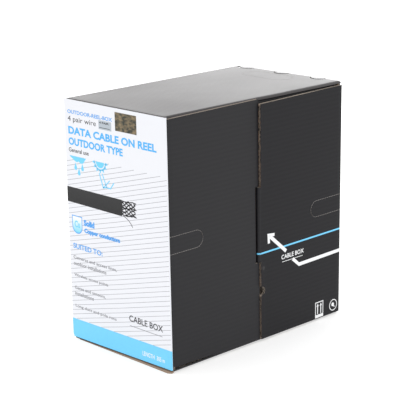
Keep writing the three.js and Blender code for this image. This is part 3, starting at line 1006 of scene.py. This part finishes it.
class Print:
    """Ink of one colour on a face: shapes and lettering are gathered, then made one thin piece."""

    def __init__(self, name, plane, face, outward, material, warp, folds=(), mirror=1.0):
        self.name, self.plane, self.face, self.outward = name, plane, face, outward
        self.material, self.warp, self.folds, self.mirror = material, warp, folds, mirror
        self.mesh = bmesh.new()

    def shape(self, *loops):
        """A filled outline in millimetres, with any holes after it."""
        loops = [[(u / 1000.0, v / 1000.0) for u, v in loop] for loop in loops]
        us = [u for u, v in loops[0]]
        vs = [v for u, v in loops[0]]
        cuts = [spread(min(us), max(us), 0.015), spread(min(vs), max(vs), 0.015)]
        for axis, place, radius in self.folds:
            step = 1.0 if place < (0.0 if axis == 0 else 0.18) else -1.0
            cuts[axis] += [place + step * radius * share for share in FOLD_STEPS]
        levels = sorted((self.face, self.face + self.outward * FILM))
        add_liner(self.mesh, loops, levels[0], levels[1], cuts, self.folds, self.outward, (0, 0))

    def line(self, points, width):
        """A line of that width through points, in millimetres."""
        left, right_side = [], []
        for i, point in enumerate(points):
            before = Vector(points[max(0, i - 1)])
            after = Vector(points[min(len(points) - 1, i + 1)])
            run = (after - before).normalized()
            one = (Vector(point) - before).normalized() if i else run
            two = (after - Vector(point)).normalized() if i < len(points) - 1 else run
            spread_by = max(0.5, math.sqrt(max(0.0, (1.0 + one.dot(two)) / 2.0)))
            normal = Vector((-run.y, run.x)) * (width / 2.0 / spread_by)
            left.append(tuple(Vector(point) + normal))
            right_side.append(tuple(Vector(point) - normal))
        self.shape(right_side + left[::-1])

    def words(self, text, box, bold=0.0):
        """Lettering that fills the box (left, right, low, high), in millimetres."""
        curve = bpy.data.curves.new("words", "FONT")
        curve.body = text
        curve.size = 1.0
        curve.offset = bold
        curve.resolution_u = 3
        curve.extrude = 0.5
        thing = bpy.data.objects.new("words", curve)
        bpy.context.collection.objects.link(thing)
        bpy.context.view_layer.update()
        block = bpy.data.meshes.new_from_object(thing.evaluated_get(bpy.context.evaluated_depsgraph_get()))
        xs = [v.co.x for v in block.vertices]
        ys = [v.co.y for v in block.vertices]
        left, right_end, base, head = (value / 1000.0 for value in box)
        across = (right_end - left) / (max(xs) - min(xs))
        tall = (head - base) / (max(ys) - min(ys))
        for vertex in block.vertices:
            u = left + (vertex.co.x - min(xs)) * across
            if self.mirror < 0.0:
                u = left + right_end - u
            v = base + (vertex.co.y - min(ys)) * tall
            w = self.face + self.outward * (FILM if vertex.co.z * self.outward > 0.0 else 0.0)
            vertex.co = (u, v, w)
        block.materials.clear()
        self.mesh.from_mesh(block)
        bpy.data.objects.remove(thing)
        bpy.data.meshes.remove(block)

    def lay(self, body="carton", slot="label_paper"):
        to_world(self.mesh, self.plane, self.warp)
        for face in self.mesh.faces:
            face.material_index = 0
        piece = finish_piece(self.name, self.mesh, [self.material], 50.0)
        hand_over(piece, body, slot)


def ink(name, tone, roughness=0.4):
    """A printing ink: even, with a slight mottle."""
    finish = Finish(name, tone, roughness)
    mottle = finish.noise(260.0, 3.0)
    finish.colour(finish.tint(mottle, tuple(c * 0.94 for c in tone), tuple(min(1.0, c * 1.03) for c in tone)))
    finish.rough(roughness - 0.03 + mottle * 0.06)
    return finish.material


cyan_ink = ink("cyan_ink", (0.155, 0.60, 0.92))
headline_ink = ink("headline_ink", (0.06, 0.42, 0.86))
blue_ink = ink("blue_ink", (0.07, 0.34, 0.80))
grey_ink = ink("grey_ink", (0.20, 0.20, 0.22))
dark_ink = ink("dark_ink", (0.020, 0.020, 0.024))
white_ink = ink("white_ink", (0.86, 0.87, 0.88))


def on_label(name, material, lift):
    return Print(name, "Y", label_face - lift * FILM * 1.5, -1.0, material, flare, LABEL_FOLD)


def lettering(name, material, lift, *rows):
    """Rows of (text, box, bold) laid on the label as one piece."""
    sheet = on_label(name, material, lift)
    for row in rows:
        sheet.words(*row)
    sheet.lay()


SLOPE = math.tan(math.radians(15.0))
stripes = on_label("label_stripes", ink("stripe_ink", (0.34, 0.34, 0.37)), 0.1)
for k in range(-3, 38):
    level = 275.2 - 7.02 * k
    left = max(-104.0, (32.0 - level) / SLOPE)
    far = min(103.4, (278.5 - level) / SLOPE)
    if far - left > 3.0:
        stripes.line([(left, level + left * SLOPE), (far, level + far * SLOPE)], 0.62)
stripes.lay()

band = on_label("label_band", cyan_ink, 1.2)
band.shape([(-103.0, 2.8), (104.3, 5.4), (104.3, 33.6), (-104.8, 31.2), (-104.8, 7.8)])
band.lay()

lettering("label_white_print", white_ink, 2.4, ("LENGTH  305 m", (44.0, 90.0, 12.6, 19.2), 0.012))

lettering("label_headlines", headline_ink, 1.2, ("DATA CABLE ON REEL", (-96.5, 85.0, 309.5, 320.8), 0.034),
          ("OUTDOOR TYPE", (-97.0, 16.0, 293.6, 304.6), 0.034))
headline = on_label("label_weather_signs", cyan_ink, 1.2)
headline.shape([(-96.5, 278.2), (-94.0, 276.2), (-89.0, 273.6), (-84.6, 271.0), (-80.6, 269.9), (-77.6, 271.8),
                (-74.0, 269.6), (-69.6, 269.4), (-66.4, 271.4), (-64.2, 274.8), (-61.0, 278.2)])
for x, z in ((-84.0, 263.6), (-77.0, 256.6), (-69.5, 263.9)):
    headline.shape(arc((x, z - 2.2), 2.9, 150, 390, 14) + [(x, z + 5.6)])
headline.shape(arc((-32.0, 278.2), 8.6, 180, 360, 24))
headline.shape(arc((-32.0, 278.2), 12.2, 180, 360, 24) + arc((-32.0, 278.2), 10.2, 360, 180, 24))
for k in range(7):
    angle = math.radians(186.0 + 28.0 * k)
    side_step = math.radians(11.0)
    spike = [(-32.0 + r * math.cos(angle + turn), 278.2 + r * math.sin(angle + turn))
             for r, turn in ((11.8, -side_step), (16.4, 0.0), (11.8, side_step))]
    headline.shape(spike)
for points in ([(-34.4, 262.4), (-26.9, 242.2), (-13.2, 254.6)], [(-28.2, 262.2), (-19.6, 243.8)],
               [(-19.6, 243.8), (-12.0, 243.4), (-4.8, 252.8)], [(-26.9, 242.2), (-19.6, 243.8)]):
    headline.line(points, 1.6)
headline.lay()

blue_print = on_label("label_blue_print", blue_ink, 1.2)
blue_print.words("OUTDOOR-REEL-BOX", (-97.0, -4.0, 339.2, 344.6), 0.02)
blue_print.words("Solid", (-71.7, -49.0, 178.2, 187.6), 0.06)
blue_print.words("Copper conductors", (-71.2, 3.8, 166.2, 175.0), 0.07)
blue_print.words("SUITED TO:", (-96.5, -34.0, 140.4, 148.2), 0.025)
shield = [(-96.6, 190.2), (-75.0, 190.2), (-75.0, 174.0)] + arc((-85.8, 174.4), 10.8, -4, -176, 18)
shield += [(-96.6, 174.0)]
inner_shield = [(-95.3, 188.9), (-76.3, 188.9), (-76.3, 174.2)] + arc((-85.8, 174.6), 9.5, -4, -176, 18)
blue_print.shape(shield, inner_shield + [(-95.3, 174.2)])
blue_print.lay()


def shield_tint():
    """The badge's fill: clear at the top, cyan at its foot."""
    finish = Finish("shield_fill", (0.5, 0.8, 0.95), 0.4)
    share = ((0.187 - finish.z) * (1.0 / 0.022)).clamp()
    finish.colour(finish.tint(share, (0.86, 0.90, 0.94), (0.16, 0.62, 0.92)))
    return finish.material


badge = on_label("label_badge_fill", shield_tint(), 0.8)
badge.shape(inner_shield + [(-95.3, 174.2)])
badge.lay()
lettering("label_badge_sign", cyan_ink, 2.2, ("Cu", (-91.6, -80.0, 172.6, 183.0), 0.03))

lettering("label_small_print", dark_ink, 1.2, ("4 pair wire", (-96.8, -37.5, 326.0, 335.7), 0.0),
          ("General use", (-97.2, -55.0, 283.6, 289.8), 0.01), ("CABLE BOX", (17.8, 88.0, 57.0, 66.2), 0.012))
fine_print = on_label("label_fine_print", grey_ink, 1.2)
for text, far, middle in (("Cameras and access lines,", -5.4, 126.4), ("outdoor installations", -27.6, 117.6),
                          ("Wireless access points", -24.5, 99.2), ("Gates and sensors,", -31.0, 80.0),
                          ("installations", -56.7, 71.4), ("Long duct and pole runs", -9.5, 51.6)):
    fine_print.words(text, (-97.2, far, middle - 2.8, middle + 2.8), 0.01)
fine_print.line([(18.8, 50.4), (86.6, 50.4)], 0.7)
fine_print.lay()


def pictured_jacket():
    """The picture of a cable: a lit upper side that falls to black below."""
    finish = Finish("pictured_cable", (0.02, 0.02, 0.02), 0.5, Specular_IOR_Level=0.3)
    height = ((finish.z - 0.2085) * (1.0 / 0.0235)).clamp()
    stops = [(0.0, (0.006, 0.006, 0.007)), (1.0, (0.017, 0.017, 0.018))]
    shade = finish.node("ShaderNodeValToRGB", {"stops": stops}, {"Fac": height})
    grain = finish.noise(300.0, 2.0)
    finish.colour(finish.tint(grain * 0.25, shade.outputs[0], (0.05, 0.05, 0.05)))
    return finish.material


picture = on_label("label_cable_picture", pictured_jacket(), 1.2)
picture.shape([(-104.6, 209.2), (9.6, 208.2), (11.4, 213.5), (11.9, 219.9), (11.6, 226.2), (10.6, 231.7),
               (-104.4, 231.6)])
picture.lay()
braid = on_label("label_braid_picture", dark_ink, 1.4)
for k in range(-2, 4):
    for lean in (1.0, -1.0):
        points = []
        for i in range(9):
            x = 10.5 + i * 3.5
            z = 220.0 + k * 5.6 + lean * (i * 3.5 - 14.0) * 0.62 + 0.8 * math.sin(i * 1.7 + k)
            if 208.6 < z < 231.8:
                points.append((x, z))
        if len(points) > 1:
            braid.line(points, 1.75)
for z in (230.6, 221.5, 211.0):
    braid.line([(10.5, z), (22.0, z - 1.0), (33.0, z + 1.2), (40.5, z + 0.2)], 1.5)
braid.line([(12.0, 209.5), (18.0, 207.6), (24.0, 204.4), (28.6, 200.4), (31.6, 196.2)], 1.0)
braid.lay()


# ------------------------------
# Stickers on the label: a bronze foil seal and a small grey specification sticker.
def foil():
    finish = Finish("bronze_foil", (0.22, 0.15, 0.09), 0.3, Metallic=0.6)
    patch = finish.noise(120.0, 3.0, (1.0, 1.0, 1.7))
    fine = finish.noise(600.0, 2.0)
    stops = [(0.38, (0.035, 0.024, 0.018)), (0.66, (0.30, 0.21, 0.115))]
    ramp = finish.node("ShaderNodeValToRGB", {"stops": stops}, {"Fac": patch})
    finish.colour(finish.tint(fine * 0.45, ramp.outputs[0], (0.05, 0.10, 0.08)))
    finish.rough(0.25 + fine * 0.25)
    finish.bump(fine, 0.00004)
    return finish.material


grey_paper = paper("grey_sticker_paper", (0.42, 0.47, 0.52))
for node, material, slot in (("hologram_sticker", foil(), "foil_sticker"),
                             ("spec_sticker", grey_paper, "plain_sticker")):
    low, high = corners(node)
    mesh = bmesh.new()
    outline = rectangle(low.x, low.z, high.x, high.z)
    sheet_back = label_face - 2.0 * FILM
    add_liner(mesh, [outline], sheet_back - 0.00012, sheet_back, [[], []], (), -1.0, (0, 0))
    to_world(mesh, "Y")
    sticker = finish_piece(node + "_sheet", mesh, [material], 50.0)
    hand_over(sticker, "carton", slot, node)
low, high = (1000.0 * Vector(corner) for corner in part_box("spec_sticker"))
sticker_print = Print("spec_sticker_print", "Y", label_face - 2.0 * FILM - 0.00013, -1.0, dark_ink, flare)
sticker_print.words("4 PAIR", (low.x + 2.5, high.x - 4.0, high.z - 4.4, high.z - 1.6), 0.03)
sticker_print.line([(low.x + 2.5, low.z + 2.4), (high.x - 2.5, low.z + 2.4)], 0.8)
sticker_print.lay("carton", "plain_sticker")


# ------------------------------
# Door print: a cyan rule, a white bent arrow, a generic name and two handling signs on each back
# door. The rule runs on round the bend of the tuck tongue.
for side, hand in SIDES:
    face = side * 0.10501
    move = stand_proud(side)
    tongue_fold = [(0, side * 0.105, TONGUE_FOLD)]
    crease_fold = [(0, back_out, FOLD_RADIUS["back"])]
    body = "back_door_" + hand
    rule = Print("door_rule_" + hand, "X", face, side, cyan_ink, move, crease_fold)
    rule.line([(0.5, 134.6), (174.6, 134.6)], 2.5)
    rule.lay(body, "carton_black")
    bent = Print("tongue_rule_" + hand, "Y", -0.00361, -1.0, cyan_ink, move, tongue_fold)
    bent.line([(side * 100.0, 134.6), (side * 104.99, 134.6)], 2.5)
    bent.lay(body, "carton_black")
    white = Print("door_print_" + hand, "X", face + side * FILM * 1.5, side, white_ink, move,
                  crease_fold, side)
    white.line([(17.6, 157.6), (53.4, 126.6)], 5.4)
    white.line([(28.6, 157.2), (16.2, 158.6), (16.8, 146.2)], 4.6)
    white.line([(67.6, 111.4), (81.6, 99.6), (174.6, 100.6)], 5.2)
    white.words("CABLE BOX", (43.4, 92.0, 115.4, 122.2), 0.02)
    white.line([(45.0, 111.6), (89.6, 111.6)], 0.8)
    white.shape(rectangle(119.0, 4.6, 137.4, 29.6), rectangle(120.4, 9.4, 136.0, 28.2))
    for y in (124.6, 131.8):
        white.line([(y, 10.4), (y, 23.4)], 1.9)
        white.shape([(y - 2.6, 22.4), (y + 2.6, 22.4), (y, 27.2)])
    white.shape(arc((160.6, 16.0), 9.0, 0, 360, 40)[:-1], arc((160.6, 16.0), 7.7, 0, 360, 40)[:-1])
    white.shape(arc((159.6, 17.0), 3.0, 0, 360, 24)[:-1])
    white.line([(160.4, 16.2), (163.6, 12.4)], 1.6)
    white.lay(body, "carton_black")
    smudge_ink = ink("smudge_" + hand, (0.004, 0.004, 0.005))
    smudge = Print("door_smudge_" + hand, "X", face, side, smudge_ink, move)
    smudge.shape([(5.6 + 2.3 * math.cos(a) * (1.0 + 0.2 * math.sin(3.0 * a)), 111.6 + 2.9 * math.sin(a))
                  for a in (2.0 * math.pi * k / 20 for k in range(20))])
    smudge.lay(body, "carton_black")


# ------------------------------
# Floor: a plain pale sheet under the carton.
floor_block = bpy.data.meshes.new("floor")
FLOOR = 30.0
floor_block.from_pydata([(-FLOOR, -FLOOR, 0), (FLOOR, -FLOOR, 0), (FLOOR, FLOOR, 0), (-FLOOR, FLOOR, 0)], [],
                        [(0, 1, 2, 3)])
floor_finish = Finish("floor_paper", (0.62, 0.62, 0.62), 0.9, Emission_Strength=0.50)
floor_finish.shader.inputs["Emission Color"].default_value = (1.0, 1.0, 1.0, 1.0)
floor_block.materials.append(floor_finish.material)
floor = bpy.data.objects.new("floor", floor_block)
bpy.context.collection.objects.link(floor)

bpy.context.view_layer.update()
